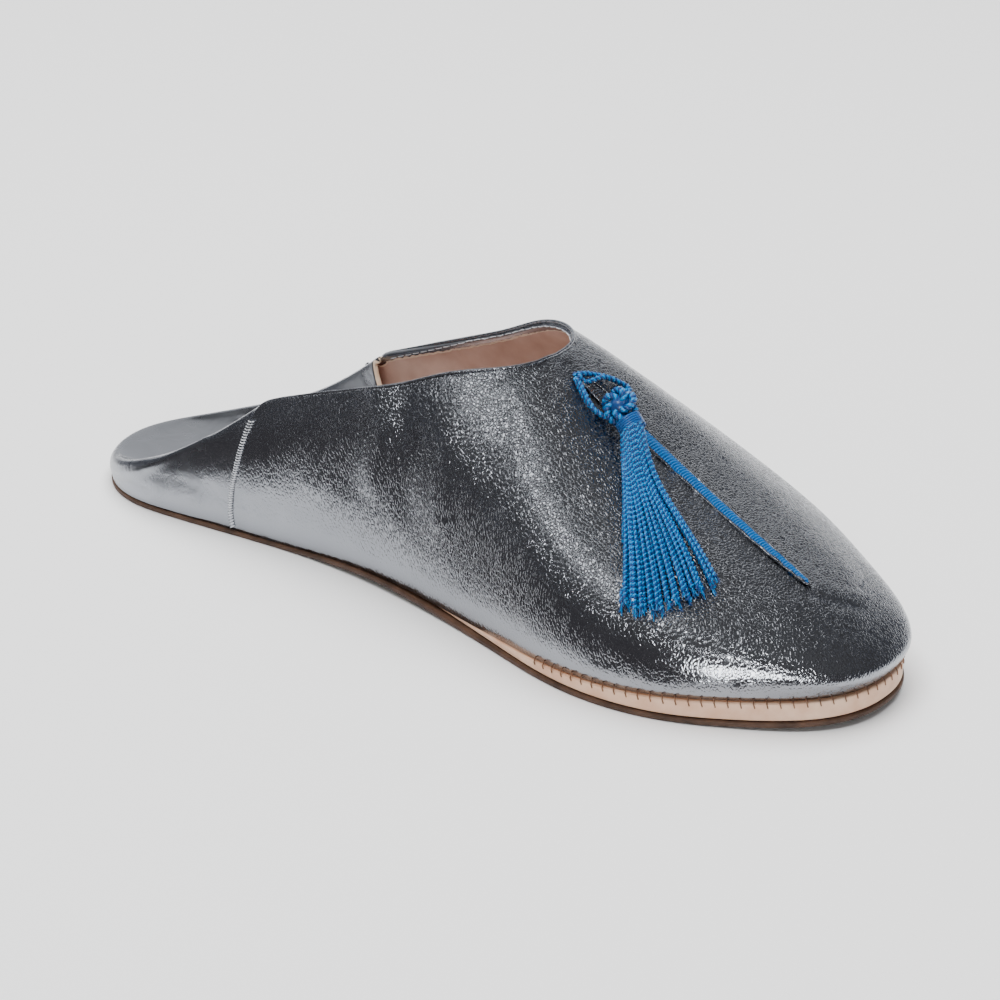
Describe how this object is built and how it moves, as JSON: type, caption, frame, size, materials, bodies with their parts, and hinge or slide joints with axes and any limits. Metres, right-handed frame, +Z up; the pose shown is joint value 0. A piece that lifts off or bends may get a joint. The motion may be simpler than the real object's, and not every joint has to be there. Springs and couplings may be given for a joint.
{
  "type": "babouche slipper",
  "caption": "Left babouche: soft metallic leather mule on a thin flat sole, heel folded down inside, inlaid slit along the vamp and a cord tassel.",
  "frame": {"origin": "on the floor, under the middle of the shoe's bounding box", "axes": "+X towards the toe, +Y towards the lateral side, +Z up; the medial side faces -Y"},
  "size_m": [0.259, 0.0932, 0.0689],
  "materials": {
    "outsole_leather": "smooth dark leather, cut edge",
    "rand_leather": "natural undyed leather, cut edge",
    "insole_leather": "plain tan leather",
    "upper_leather": "silver foil over pebbled leather",
    "inlay_cord": "ribbed braid",
    "tassel_cord": "twisted glossy cord"
  },
  "bodies": {
    "root": {"outsole": "outsole_leather", "rand": "rand_leather", "insole": "insole_leather", "upper": "upper_leather", "slit_inlay": "inlay_cord", "tassel_loop": "tassel_cord", "tassel_knot": "tassel_cord", "tassel_skirt": "tassel_cord"}
  },
  "joints": []
}
